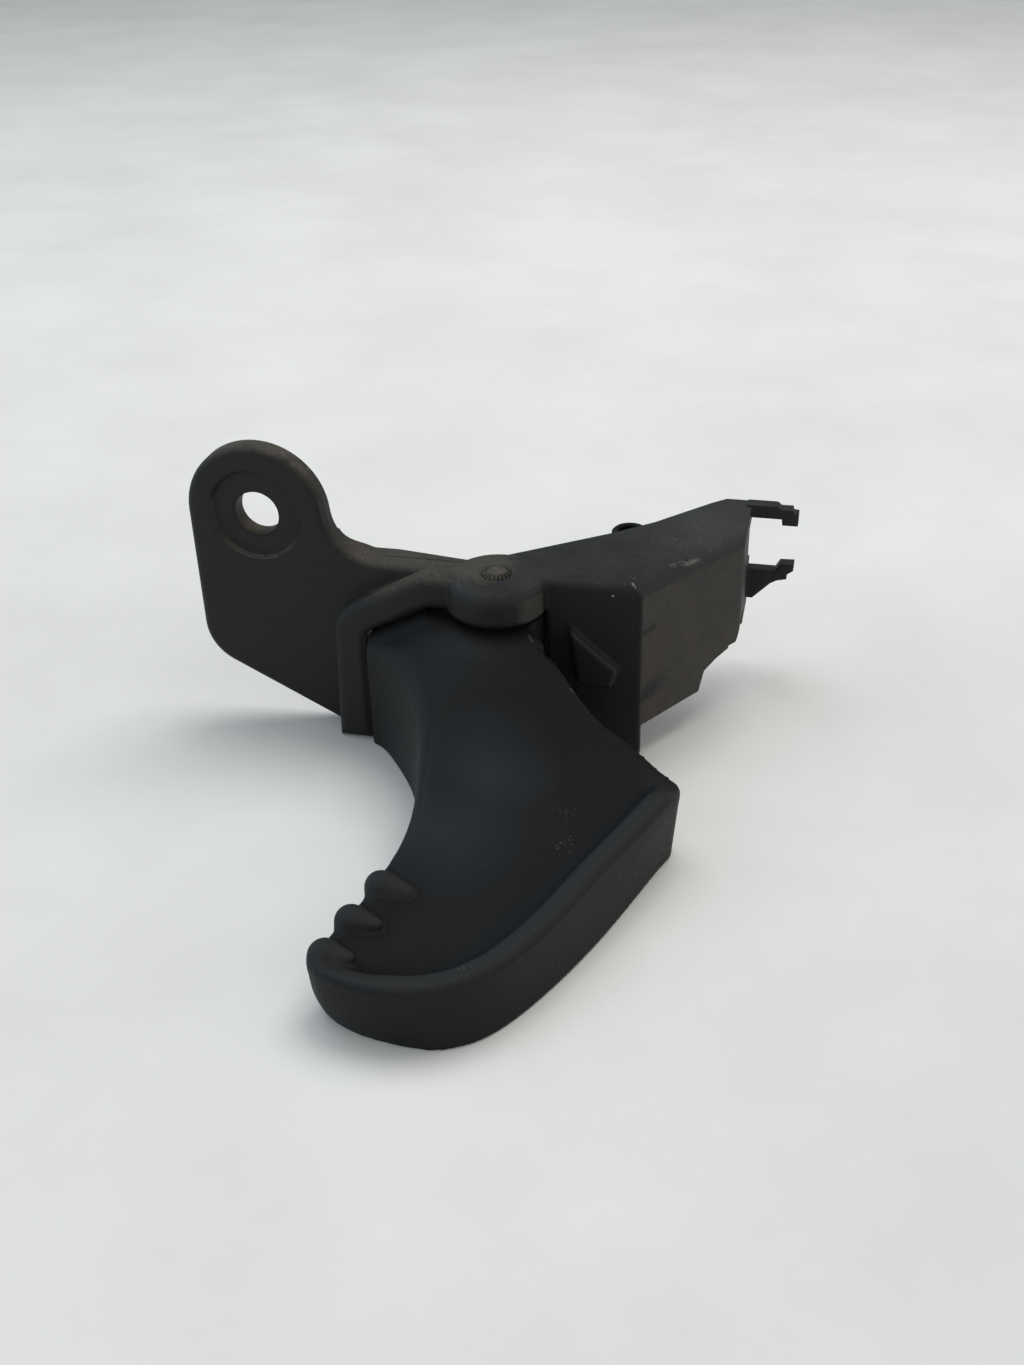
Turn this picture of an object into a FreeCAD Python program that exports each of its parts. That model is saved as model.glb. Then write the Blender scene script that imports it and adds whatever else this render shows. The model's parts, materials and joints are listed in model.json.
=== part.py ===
import FreeCAD, Part
import math
import os

# Hood release handle: a pivot bracket, the pull lever and the pin that joins them.
# Millimetres. X runs along the bracket's front plate, Y goes back through it, Z is up.
# Shapes are built with the pivot axis on X = Y = 0 and the resting surface at Z = 0,
# and are moved at the end so that the ear's bolt hole, at the back face, is the origin.

# Front plate
TOP_Z = 39.5
PLATE_FRONT_Y = -0.7
PLATE_THICK = 5.3
PLATE_SKIN = 2.5
PLATE_RIM = 2.6
PLATE_RIB = 1.6
PLATE_RIGHT_X = 29.2
PLATE_FOOT_X = -33.2
PLATE_CORNER_Z = 16.1
PLATE_CORNER_R = 10.0
PLATE_TOP_R = 3.0
EDGE_ROUND = 1.6
BACK_CHAMFER = 1.2
TOP_FLANGE = [(-28.2, 6.9), (-22.0, 6.9), (-6.5, 4.6)]

# Ear with its bolt hole
EAR_X = -49.4
EAR_Z = 48.2
EAR_R = 14.6
EAR_NECK_R = 10.5
BOLT_R = 4.7
SEAT_R = 9.1
SEAT_DEPTH = 1.1
SEAT_SLOPE = 0.6

# Window for the lever, the flange under it and the bead that borders it
WINDOW_LEFT_X = -26.6
WINDOW_RIGHT_X = 10.2
WINDOW_ARCH = [(WINDOW_LEFT_X, 25.6), (-13.0, 32.6)]
FOOT_FLANGE = 3.0
FOOT_DEPTH = 9.0
BEAD_WIDTH = 6.8
BEAD_PROUD = 4.5
BEAD_ROUND = 2.0
BEAD_KNEE_R = 7.0
BEAD_BEND_R = 3.0
BEAD_FLARE = 0.9

# Pivot
PIVOT_BOSS_R = 10.2
PIVOT_BOSS_H = 7.7
BOSS_ROUND_TOP = 2.4
BOSS_CHAMFER = 1.2
PIN_R = 3.0
PIN_HEAD_PROUD = 0.2
PIN_CHAMFER = 0.5
PIN_SPLINES = 20
PIN_SPLINE_DEPTH = 0.3
PIN_SPLINE_LENGTH = 4.0
PIN_SEAT_GAP = 0.02
RUNNING_GAP = 0.05

# Cable box behind the plate
BOX_WALL = 2.0
BOX_DROP = 0.4
BOX_END_X = 46.6
BOX_SIDE_END_Y = 26.0
BOX_BACK_Y = 44.0
BOX_CREASE_R = 3.0
SIDE_LOW_Z = 7.5
SIDE_STEP_AT = 18.8
SIDE_STEP = [(0.0, SIDE_LOW_Z), (1.6, 11.8), (5.3, 13.2), (12.0, 14.6), (14.0, 18.6)]
END_LOW_Z = 14.6
ROOF_BACK_EDGE = [(41.0, 44.0), (38.0, 41.3), (27.3, 29.6), (19.3, 22.8), (-6.0, PLATE_FRONT_Y + PLATE_THICK)]
SLOT_LOW_Z = 26.0
SLOT_TOP_Z = 35.0

# Cable prongs on the end wall: X from the wall, Z from the top
PRONG_Y = 40.6
PRONG_THICK = 3.0
UPPER_PRONG = [(-1.0, 0.0), (5.4, 0.0), (6.2, -0.7), (8.7, -0.7), (8.9, -1.5), (10.0, -1.6), (10.0, -4.2),
               (6.7, -4.2), (6.5, -2.8), (-1.0, -2.8)]
LOWER_PRONG = [(-1.0, -15.3), (5.9, -15.3), (6.8, -13.6), (9.9, -13.5), (9.8, -14.9), (8.6, -15.8),
               (8.5, -17.0), (6.4, -17.5), (5.1, -18.3), (1.4, -22.2), (-1.0, -22.2)]

# Stop pad on the plate, met by the lever at full pull
PAD_PROUD = 1.8
PAD_CORNERS = [(15.0, 29.4), (24.6, 21.0), (23.6, 17.1), (16.6, 17.6)]
PAD_ROUND = 0.5

# Lever: its outline seen from above, and how its top falls with distance from the pivot
SIDE_GAP = 0.4
HUB_R = 9.4
LEVER_WALL = 2.4
LEVER_OUTLINE = [
    (-26.2, -5.2), (-21.4, -9.8), (-12.9, -22.9), (-8.0, -37.2), (-5.2, -53.0), (-7.0, -70.0),
    (-12.0, -81.8), (-8.6, -87.2), (-1.0, -89.2), (11.7, -87.4), (19.2, -82.8), (29.0, -65.6),
    (39.2, -38.8), (40.6, -31.4), (37.0, -25.4), (22.5, -18.6), (7.6, -5.6),
]
ROOT_BACK = [(8.4, 3.0), (-8.5, 3.0), (-26.2, -1.4)]
LEVER_FALL = [(10.0, 31.2), (15.0, 29.8), (20.0, 27.0), (26.0, 23.4), (34.0, 19.3), (44.0, 16.0),
              (56.0, 13.8), (70.0, 12.2), (84.0, 11.0), (105.0, 10.0)]
OUTLINE_FIT = 0.2
FALL_FIT = 0.15
RIB_ANGLES = [-105, -88, -70, -50]
RIB_RING_R = [42, 64]
RIB_DEPTH = 3.0

# Rolled lip on the paddle's outer rim and grip bumps on its inner edge
LIP_INNER = [(-6.2, -84.2), (3.2, -83.8), (10.6, -80.6), (17.5, -74.8), (24.8, -61.8), (29.6, -49.9),
             (34.1, -33.4), (35.4, -28.4)]
LIP_OUTER = [(-8.3, -90.2), (1.8, -90.4), (11.2, -87.9), (19.8, -82.2), (27.2, -70.2), (34.4, -54.4),
             (39.2, -39.2), (41.4, -32.0)]
LIP_RISE = 2.2
LIP_DROP = 1.1
LIP_CHAMFER = 1.0
BUMP_PLACES = [(-10.2, -82.4), (-8.1, -74.2), (-6.2, -65.6)]
BUMP_RUN = (5.2, -0.4, -2.4)
BUMP_R = 2.7
BUMP_END_R = 1.3
BUMP_BEVEL = 2.0
BUMP_BEVEL_R = 1.3
BUMP_SINK = 0.3

# Cable arm behind the hub
EYE_X = 22.0
EYE_Y = 30.0
EYE_R = 3.9
EYE_BORE_R = 2.6
EYE_SLOT = 1.8
EYE_FLOOR = 2.0
ARM_WIDTH = 7.0
ARM_ROOT_Z = 12.0
ARM_LOW_Z = 21.0
ARM_RIB_RUN = 8.0

# Sizes worked out from those above
PLATE_BACK_Y = PLATE_FRONT_Y + PLATE_THICK
PLATE_LEFT_X = EAR_X - EAR_R
FOOT_SLOPE = PLATE_CORNER_Z / (PLATE_FOOT_X - PLATE_LEFT_X)
BOSS_LOW_Z = TOP_Z - PIVOT_BOSS_H
BOX_TOP_Z = TOP_Z - BOX_DROP
BOX_ROOF_Z = BOX_TOP_Z - BOX_WALL
HUB_LOW_Z = PIVOT_BOSS_H + SIDE_GAP
HUB_TOP_Z = BOSS_LOW_Z - SIDE_GAP
EYE_TOP_Z = BOX_ROOF_Z - SIDE_GAP
SKY_Z = TOP_Z + 30
PIN_LOW_Z = 0.3
PIN_TOP_Z = TOP_Z + PIN_HEAD_PROUD


def vec(x, y, z):
    return FreeCAD.Vector(x, y, z)


def prism(points, direction):
    return Part.Face(Part.makePolygon(points + points[:1])).extrude(direction)


def prism_xz(points, y0, y1):
    return prism([vec(x, y0, z) for x, z in points], vec(0, y1 - y0, 0))


def prism_xy(points, z0, z1):
    return prism([vec(x, y, z0) for x, y in points], vec(0, 0, z1 - z0))


def box(x0, x1, y0, y1, z0, z1):
    return Part.makeBox(x1 - x0, y1 - y0, z1 - z0, vec(x0, y0, z0))


def upright(radius, z0, z1, x=0.0, y=0.0):
    return Part.makeCylinder(radius, z1 - z0, vec(x, y, z0), vec(0, 0, 1))


def across(radius, y0, y1, x, z):
    return Part.makeCylinder(radius, y1 - y0, vec(x, y0, z), vec(0, 1, 0))


def near(value, target, tolerance=0.01):
    return abs(value - target) < tolerance


def edges_where(shape, test):
    """The edges whose two ends and middle all pass the test."""
    found = []
    for edge in shape.Edges:
        a, b = edge.ParameterRange
        if all(test(edge.valueAt(t)) for t in (a, (a + b) / 2, b)):
            found.append(edge)
    return found


def corner_edges(shape, x, z):
    """The edges along Y at one corner of a profile that was drawn in X and Z."""
    return edges_where(shape, lambda p: near(p.x, x) and near(p.z, z))


def boss_disc(z0, z1):
    """A disc about the pivot axis with its two rims chamfered."""
    disc = upright(PIVOT_BOSS_R, z0, z1)
    return disc.makeChamfer(BOSS_CHAMFER, edges_where(disc, lambda p: near(p.z, z0) or near(p.z, z1)))


def arc(centre, radius, start, end):
    """The shorter arc between two directions from a centre, in a plane across Y."""
    a = (start - centre).normalize()
    b = (end - centre).normalize()
    middle = (a + b).normalize()
    return Part.Arc(centre + a * radius, centre + middle * radius, centre + b * radius).toShape()


def plate_outline():
    """The front plate's wire: ear, neck, top edge, right edge, foot and slanted lower left edge."""
    y = PLATE_FRONT_Y
    neck_z = TOP_Z + EAR_NECK_R
    neck_x = EAR_X + math.sqrt((EAR_R + EAR_NECK_R) ** 2 - (neck_z - EAR_Z) ** 2)
    ear = vec(EAR_X, y, EAR_Z)
    neck = vec(neck_x, y, neck_z)
    touch = ear + (neck - ear).normalize() * EAR_R
    left = vec(PLATE_LEFT_X, y, EAR_Z)
    top_start = vec(neck_x, y, TOP_Z)
    top_end = vec(PLATE_RIGHT_X, y, TOP_Z)
    right_foot = vec(PLATE_RIGHT_X, y, 0)
    foot = vec(PLATE_FOOT_X, y, 0)
    corner = vec(PLATE_LEFT_X, y, PLATE_CORNER_Z)
    return Part.Wire([
        Part.Arc(left, vec(EAR_X, y, EAR_Z + EAR_R), touch).toShape(),
        arc(neck, EAR_NECK_R, touch, top_start),
        Part.makeLine(top_start, top_end),
        Part.makeLine(top_end, right_foot),
        Part.makeLine(right_foot, foot),
        Part.makeLine(foot, corner),
        Part.makeLine(corner, left),
    ])


def back_pockets():
    """The recesses in the plate's back, which leave a thin skin, a rim and a few ribs."""
    y0 = PLATE_FRONT_Y + PLATE_SKIN
    y1 = PLATE_BACK_Y + 1
    low_left = PLATE_CORNER_Z + PLATE_RIM * math.hypot(1, FOOT_SLOPE)
    right = WINDOW_LEFT_X - PLATE_RIM
    left = PLATE_LEFT_X + PLATE_RIM
    low_left_z = low_left - FOOT_SLOPE * PLATE_RIM
    run = (low_left_z - PLATE_RIM) / FOOT_SLOPE
    left_pocket = prism_xz([
        (left, TOP_Z - PLATE_RIM),
        (left, low_left_z),
        (left + run, PLATE_RIM),
        (right, PLATE_RIM),
        (right, TOP_Z - PLATE_RIM),
    ], y0, y1)
    left_pocket = left_pocket.cut(across(SEAT_R + PLATE_RIM, y0, y1, EAR_X, EAR_Z))
    half = PLATE_RIB / 2
    for share in (1 / 3, 2 / 3):
        x = left + (right - left) * share
        left_pocket = left_pocket.cut(box(x - half, x + half, y0, y1, 0, TOP_Z))
    rib_z = TOP_Z / 2
    left_pocket = left_pocket.cut(box(left, right, y0, y1, rib_z - half, rib_z + half))
    right_pocket = box(WINDOW_RIGHT_X + PLATE_RIM, PLATE_RIGHT_X - PLATE_RIM - BOX_WALL, y0, y1,
                       FOOT_FLANGE + PLATE_RIM, BOX_ROOF_Z)
    return left_pocket.fuse(right_pocket)


def top_flange():
    """The thicker back of the plate's top edge, between the ear's neck and the pin."""
    inside = PLATE_BACK_Y - 1
    plan = [(TOP_FLANGE[0][0], inside)] + TOP_FLANGE + [(TOP_FLANGE[-1][0], inside)]
    return prism_xy(plan, TOP_Z - PLATE_RIM, TOP_Z)


def window():
    """The hole that the lever passes through, under the bead and the upper boss."""
    foot = (WINDOW_LEFT_X, FOOT_FLANGE)
    outline = [foot] + WINDOW_ARCH + [(WINDOW_RIGHT_X, WINDOW_ARCH[-1][1]), (WINDOW_RIGHT_X, FOOT_FLANGE)]
    return prism_xz(outline, PLATE_FRONT_Y - BEAD_PROUD, PLATE_BACK_Y + FOOT_DEPTH)


def plate():
    body = Part.Face(plate_outline()).extrude(vec(0, PLATE_THICK, 0))
    body = body.makeFillet(PLATE_CORNER_R, corner_edges(body, PLATE_LEFT_X, PLATE_CORNER_Z))
    body = body.makeFillet(PLATE_TOP_R, corner_edges(body, PLATE_RIGHT_X, TOP_Z))

    def ear_back(p):
        return near(p.y, PLATE_BACK_Y) and p.z > TOP_Z - 0.01 and p.x < TOP_FLANGE[0][0]

    def outer_rim(p):
        return near(p.y, PLATE_FRONT_Y) and p.x < PLATE_FOOT_X + 0.01

    def top_rim(p):
        return near(p.y, PLATE_FRONT_Y) and near(p.z, TOP_Z)

    rims = edges_where(body, lambda p: outer_rim(p) or top_rim(p))
    body = body.makeFillet(EDGE_ROUND, rims)
    body = body.makeChamfer(BACK_CHAMFER, edges_where(body, ear_back))
    square_edge = box(PLATE_RIGHT_X - 2 * EDGE_ROUND, PLATE_RIGHT_X, PLATE_FRONT_Y, PLATE_FRONT_Y + PLATE_SKIN,
                      0, TOP_Z - PLATE_TOP_R)
    body = body.fuse(square_edge).cut(back_pockets())
    body = body.cut(across(BOLT_R, PLATE_FRONT_Y - 1, PLATE_BACK_Y + 1, EAR_X, EAR_Z))
    seat = Part.makeCone(SEAT_R + SEAT_SLOPE, SEAT_R, SEAT_DEPTH, vec(EAR_X, PLATE_FRONT_Y, EAR_Z), vec(0, 1, 0))
    return body.cut(seat)


def bead():
    """The raised border that runs up the window's left side and over to the pivot boss."""
    y0 = PLATE_FRONT_Y - BEAD_PROUD
    inner = WINDOW_ARCH
    slope = (inner[1][1] - inner[0][1]) / (inner[1][0] - inner[0][0])
    outer_x = WINDOW_LEFT_X - BEAD_WIDTH
    rise = BEAD_WIDTH * math.hypot(1, slope)
    knee_z = inner[0][1] + rise - slope * BEAD_WIDTH
    crest_x = outer_x + (TOP_Z - knee_z) / slope
    outline = [
        (outer_x - BEAD_FLARE, 0),
        (outer_x, knee_z),
        (crest_x, TOP_Z),
        (0, TOP_Z),
        (0, inner[1][1]),
        inner[1],
        inner[0],
        (WINDOW_LEFT_X, 0),
    ]
    body = prism_xz(outline, y0, PLATE_BACK_Y - PLATE_RIM)
    body = body.makeFillet(BEAD_KNEE_R, corner_edges(body, outer_x, knee_z))
    body = body.makeFillet(BEAD_BEND_R, corner_edges(body, *inner[0]) + corner_edges(body, *inner[1])
                           + corner_edges(body, crest_x, TOP_Z))
    return body.makeFillet(BEAD_ROUND, edges_where(body, lambda p: near(p.y, y0) and p.x < -0.1))


def bosses():
    """The two ears of the fork that holds the pin."""
    skirt = boss_disc(BOSS_LOW_Z, TOP_Z - BOSS_ROUND_TOP)
    top = upright(PIVOT_BOSS_R, TOP_Z - BOSS_ROUND_TOP - BOSS_CHAMFER, TOP_Z)
    top = top.makeFillet(BOSS_ROUND_TOP, edges_where(top, lambda p: near(p.z, TOP_Z)))
    return [skirt.fuse(top), boss_disc(0, PIVOT_BOSS_H)]


def stop_pad():
    """The raised pad on the plate that stops the lever at full pull."""
    y0 = PLATE_FRONT_Y - PAD_PROUD
    body = prism_xz(PAD_CORNERS, y0, PLATE_FRONT_Y + 0.5)
    return body.makeFillet(PAD_ROUND, edges_where(body, lambda p: near(p.y, y0)))


def side_frame():
    """The origin, the direction along and the outward normal of the box's oblique side."""
    start = vec(PLATE_RIGHT_X, PLATE_FRONT_Y, 0)
    along = (vec(BOX_END_X, BOX_SIDE_END_Y, 0) - start).normalize()
    return start, along, vec(along.y, -along.x, 0)


def cable_box():
    """The box behind the plate: a roof, the oblique side and the end wall, open at the back."""
    start, along, outward = side_frame()
    plan = [(PLATE_RIGHT_X, PLATE_FRONT_Y), (BOX_END_X, BOX_SIDE_END_Y), (BOX_END_X, BOX_BACK_Y)]
    plan += ROOF_BACK_EDGE
    body = prism_xy(plan, SIDE_LOW_Z, BOX_TOP_Z)
    crease = edges_where(body, lambda p: near(p.z, BOX_TOP_Z) and near((p - start).dot(outward), 0))
    end_edge = edges_where(body, lambda p: near(p.x, BOX_END_X) and near(p.y, BOX_SIDE_END_Y))
    body = body.makeFillet(BOX_CREASE_R, crease + end_edge)
    inner_start = start - outward * BOX_WALL
    reach = (BOX_END_X - BOX_WALL - inner_start.x) / along.x
    inner_corner = inner_start + along * reach
    room = prism_xy([
        (inner_start.x - 40, inner_start.y),
        (inner_start.x, inner_start.y),
        (inner_corner.x, inner_corner.y),
        (inner_corner.x, BOX_BACK_Y + 5),
        (inner_start.x - 40, BOX_BACK_Y + 5),
    ], 0, BOX_ROOF_Z)
    body = body.cut(room)
    step = [(SIDE_STEP_AT, 0)] + [(SIDE_STEP_AT + s, z) for s, z in SIDE_STEP]
    step += [(BOX_END_X, SIDE_STEP[-1][1]), (BOX_END_X, 0)]
    cutter = prism([start + along * s + outward * BOX_WALL + vec(0, 0, z) for s, z in step],
                   outward * -3 * BOX_WALL)
    body = body.cut(cutter)
    end_cut = box(BOX_END_X - BOX_WALL - 1, BOX_END_X + 1, BOX_SIDE_END_Y - 3, BOX_BACK_Y + 1,
                  SIDE_LOW_Z - 1, END_LOW_Z)
    body = body.cut(end_cut)
    slot = box(BOX_END_X - BOX_WALL - 1, BOX_END_X + 1, PRONG_Y - 2, BOX_BACK_Y + 1,
               SLOT_LOW_Z, SLOT_TOP_Z)
    return body.cut(slot)


def prong(profile):
    """One of the two hooked prongs that clip round the cable's fitting."""
    return prism_xz([(BOX_END_X + x, TOP_Z + z) for x, z in profile], PRONG_Y, PRONG_Y + PRONG_THICK)


def bracket():
    body = plate()
    foot = box(WINDOW_LEFT_X - PLATE_RIM, WINDOW_RIGHT_X + PLATE_RIM, PLATE_FRONT_Y, FOOT_DEPTH, 0, FOOT_FLANGE)
    thin = box(WINDOW_RIGHT_X + PLATE_RIM, PLATE_RIGHT_X + 1, PLATE_FRONT_Y + PLATE_SKIN, PLATE_BACK_Y + 1,
               -1, SIDE_LOW_Z)
    body = body.cut(thin).fuse([foot, bead(), top_flange()])
    body = body.cut(window())
    body = body.fuse(bosses() + [cable_box(), stop_pad(), prong(UPPER_PRONG), prong(LOWER_PRONG)])
    hole = upright(PIN_R + PIN_SEAT_GAP, -1, TOP_Z + 1)
    return body.cut(hole).removeSplitter()


def fitted(points, tolerance):
    """A smooth line through the points, made of arcs that meet without a corner."""
    curve = Part.BSplineCurve()
    curve.interpolate(points)
    return [piece.toShape() for piece in curve.toBiArcs(tolerance)]


def straights(points):
    return [Part.makeLine(a, b) for a, b in zip(points, points[1:])]


def inset(points, distance):
    """The points moved inward by a wall's thickness."""
    moved = []
    for i, (x, y) in enumerate(points):
        x0, y0 = points[max(i - 1, 0)]
        x1, y1 = points[min(i + 1, len(points) - 1)]
        run = math.hypot(x1 - x0, y1 - y0)
        moved.append((x - (y1 - y0) / run * distance, y + (x1 - x0) / run * distance))
    return moved


def lever_block(distance):
    """The lever's plan raised past its top surface, moved inward by a distance."""
    flank = [vec(x, y, 0) for x, y in inset(LEVER_OUTLINE, distance)]
    back = [vec(x, y - distance, 0) for x, y in ROOT_BACK]
    wire = Part.Wire(fitted(flank, OUTLINE_FIT) + straights([flank[-1]] + back + [flank[0]]))
    return Part.Face(wire).extrude(vec(0, 0, SKY_Z))


def turned_fall(shift, end_z, smooth=True):
    """The solid between an end height and the lever's top surface, which is shifted upward."""
    fall = [vec(r, 0, z + shift) for r, z in LEVER_FALL]
    flat = vec(0, 0, fall[0].z)
    slope = fitted(fall, FALL_FIT) if smooth else straights(fall)
    wire = Part.Wire(slope + straights([
        fall[-1], vec(fall[-1].x, 0, end_z), vec(0, 0, end_z), flat, fall[0]]))
    return Part.Face(wire).revolve(vec(0, 0, 0), vec(0, 0, 1), 360)


def lip_band():
    """The plan of the lip raised past the lever."""
    inner = [vec(x, y, 0) for x, y in LIP_INNER]
    outer = [vec(x, y, 0) for x, y in reversed(LIP_OUTER)]
    wire = Part.Wire(fitted(inner, OUTLINE_FIT) + straights([inner[-1], outer[0]])
                     + fitted(outer, OUTLINE_FIT) + straights([outer[-1], inner[0]]))
    return Part.Face(wire).extrude(vec(0, 0, SKY_Z))


def lip():
    """The rolled lip: a band along the outer rim that stands above the top surface."""
    band = lip_band()
    band = band.cut(turned_fall(LIP_RISE, 2 * SKY_Z))
    band = band.cut(turned_fall(-LIP_DROP, -SKY_Z))
    return band.makeChamfer(LIP_CHAMFER, [edge for edge in band.Edges if is_long_edge(edge)])


def is_long_edge(edge):
    """True for an edge that runs along the lip, at its top or its bottom."""
    start, end = edge.Vertexes[0].Point, edge.Vertexes[-1].Point
    level = math.hypot(end.x - start.x, end.y - start.y) > abs(end.z - start.z)
    return level and edge.Length > 2 * LIP_CHAMFER


def grip_bumps():
    """The grip bumps: tapered bars that sink into the top surface, each with a bevelled outer end."""
    bumps = []
    for x, y in BUMP_PLACES:
        start = vec(x, y, height_at(x, y) - BUMP_SINK)
        run = vec(*BUMP_RUN)
        bumps.append(Part.makeCone(BUMP_R, BUMP_END_R, run.Length, start, run))
        bumps.append(Part.makeCone(BUMP_R, BUMP_BEVEL_R, BUMP_BEVEL, start, run * -1))
    return bumps


def height_at(x, y):
    """The height of the top surface, from the straight line between the nearest two stated points."""
    r = math.hypot(x, y)
    for (r0, z0), (r1, z1) in zip(LEVER_FALL, LEVER_FALL[1:]):
        if r <= r1:
            return z0 + (z1 - z0) * (r - r0) / (r1 - r0)
    return LEVER_FALL[-1][1]


def underside_ribs():
    """Shallow ribs under the skin: some outward from the hub and some across them."""
    reach = LEVER_FALL[-1][0]
    half = PLATE_RIB / 2
    ribs = []
    for angle in RIB_ANGLES:
        rib = box(0, reach, -half, half, 0, TOP_Z)
        rib.rotate(vec(0, 0, 0), vec(0, 0, 1), angle)
        ribs.append(rib)
    for radius in RIB_RING_R:
        ribs.append(upright(radius + half, 0, TOP_Z).cut(upright(radius - half, 0, TOP_Z)))
    return ribs[0].fuse(ribs[1:]).common(turned_fall(-LEVER_WALL - RIB_DEPTH, SKY_Z, smooth=False))


def cable_arm():
    """The arm behind the hub, with the eye that takes the cable's end."""
    reach = math.hypot(EYE_X, EYE_Y)
    half = PLATE_RIB / 2
    side = [(0, ARM_ROOT_Z), (reach, ARM_LOW_Z), (reach, HUB_TOP_Z), (0, HUB_TOP_Z)]
    arm = prism_xz(side, -ARM_WIDTH / 2, ARM_WIDTH / 2)
    rib_start = PIVOT_BOSS_R + SIDE_GAP + 1
    arm = arm.fuse(prism_xz([(rib_start, HUB_TOP_Z - 1), (reach, HUB_TOP_Z - 1), (reach, EYE_TOP_Z - 1),
                             (reach - ARM_RIB_RUN, EYE_TOP_Z - 1)], -half, half))
    arm.rotate(vec(0, 0, 0), vec(0, 0, 1), math.degrees(math.atan2(EYE_Y, EYE_X)))
    arm = arm.fuse(upright(EYE_R, ARM_LOW_Z, EYE_TOP_Z, EYE_X, EYE_Y))
    floor_z = ARM_LOW_Z + EYE_FLOOR
    arm = arm.cut(upright(EYE_BORE_R, floor_z, EYE_TOP_Z + 1, EYE_X, EYE_Y))
    return arm.cut(box(EYE_X, EYE_X + 2 * EYE_R, EYE_Y - EYE_SLOT / 2, EYE_Y + EYE_SLOT / 2,
                       floor_z, EYE_TOP_Z + 1))


def lever():
    body = lever_block(0.0).cut(turned_fall(0.0, 2 * SKY_Z))
    body = body.fuse([lip()] + grip_bumps())
    hub = upright(HUB_R, HUB_LOW_Z, HUB_TOP_Z)
    hollow = lever_block(LEVER_WALL).cut(turned_fall(-LEVER_WALL, 2 * SKY_Z, smooth=False))
    body = body.cut(hollow.cut([underside_ribs(), hub]))
    over_boss = upright(PIVOT_BOSS_R + SIDE_GAP, -1, HUB_LOW_Z)
    over_foot = box(-TOP_Z, TOP_Z, PLATE_FRONT_Y - SIDE_GAP, TOP_Z, -1, HUB_LOW_Z)
    body = body.cut([over_boss, over_foot])
    body = body.fuse([hub, cable_arm()])
    return body.cut(upright(PIN_R + RUNNING_GAP, -1, TOP_Z)).removeSplitter()


def pivot_pin():
    """The steel pin: chamfered below and splined where it is pressed into the upper boss."""
    pin = upright(PIN_R, PIN_LOW_Z, PIN_TOP_Z)
    pin = pin.makeChamfer(PIN_CHAMFER, edges_where(pin, lambda p: near(p.z, PIN_LOW_Z)))
    grooves = []
    for i in range(PIN_SPLINES):
        groove = box(-PIN_SPLINE_DEPTH, PIN_SPLINE_DEPTH, -PIN_SPLINE_DEPTH, PIN_SPLINE_DEPTH,
                     PIN_TOP_Z - PIN_SPLINE_LENGTH, PIN_TOP_Z + 1)
        groove.rotate(vec(0, 0, 0), vec(0, 0, 1), 45)
        groove.translate(vec(PIN_R, 0, 0))
        groove.rotate(vec(0, 0, 0), vec(0, 0, 1), 360 * i / PIN_SPLINES)
        grooves.append(groove)
    return pin.cut(grooves)


def main():
    os.makedirs("parts", exist_ok=True)
    pieces = {"bracket": bracket(), "lever": lever(), "pivot_pin": pivot_pin()}
    for name, shape in pieces.items():
        solid = shape.Solids[0]
        solid.translate(vec(-EAR_X, -PLATE_BACK_Y, -EAR_Z))
        solid.exportStep("parts/" + name + ".step")
        print(name, len(shape.Solids), shape.isValid(), round(solid.Volume, 1))


main()
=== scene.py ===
import json
import math

import bmesh
import bpy
import numpy as np
from mathutils import Matrix, Vector

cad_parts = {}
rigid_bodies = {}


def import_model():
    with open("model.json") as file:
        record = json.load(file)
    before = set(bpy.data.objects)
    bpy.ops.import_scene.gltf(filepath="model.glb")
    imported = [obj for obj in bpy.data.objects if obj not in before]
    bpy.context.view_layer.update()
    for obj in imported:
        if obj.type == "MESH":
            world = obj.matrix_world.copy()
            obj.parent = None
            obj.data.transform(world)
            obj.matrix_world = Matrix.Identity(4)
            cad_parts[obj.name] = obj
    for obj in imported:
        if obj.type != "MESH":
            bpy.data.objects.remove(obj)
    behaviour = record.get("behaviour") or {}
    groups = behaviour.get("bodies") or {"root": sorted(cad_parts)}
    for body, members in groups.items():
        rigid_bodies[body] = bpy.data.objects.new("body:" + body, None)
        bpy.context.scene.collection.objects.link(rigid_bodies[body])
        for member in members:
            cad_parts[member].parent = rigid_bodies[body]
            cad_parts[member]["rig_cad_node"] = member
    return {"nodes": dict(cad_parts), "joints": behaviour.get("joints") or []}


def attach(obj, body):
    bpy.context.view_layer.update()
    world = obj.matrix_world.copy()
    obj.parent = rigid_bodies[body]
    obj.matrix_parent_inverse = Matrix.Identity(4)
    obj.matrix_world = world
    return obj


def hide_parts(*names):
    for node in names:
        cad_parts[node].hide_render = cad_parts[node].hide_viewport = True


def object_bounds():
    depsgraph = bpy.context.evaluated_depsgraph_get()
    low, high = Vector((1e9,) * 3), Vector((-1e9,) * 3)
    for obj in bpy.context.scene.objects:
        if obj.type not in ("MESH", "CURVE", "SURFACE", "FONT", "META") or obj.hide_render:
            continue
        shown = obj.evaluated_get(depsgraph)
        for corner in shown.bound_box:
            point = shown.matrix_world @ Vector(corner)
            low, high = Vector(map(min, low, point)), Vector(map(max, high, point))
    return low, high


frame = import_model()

# Hood release handle: the bracket's solid with its finish, and a smooth lever and a splined pin in place of
# the plain ones. Lengths are millimetres from the pivot axis and the floor, unless a comment says metres.

# Places read from the frame, in metres, and the length of a millimetre
CAD_LOW, CAD_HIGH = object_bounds()
MIDDLE = (CAD_LOW + CAD_HIGH) / 2
PIVOT = Vector(frame["joints"][0]["pos_m"])
FLOOR_Z = CAD_LOW.z
MM = 0.001

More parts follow.
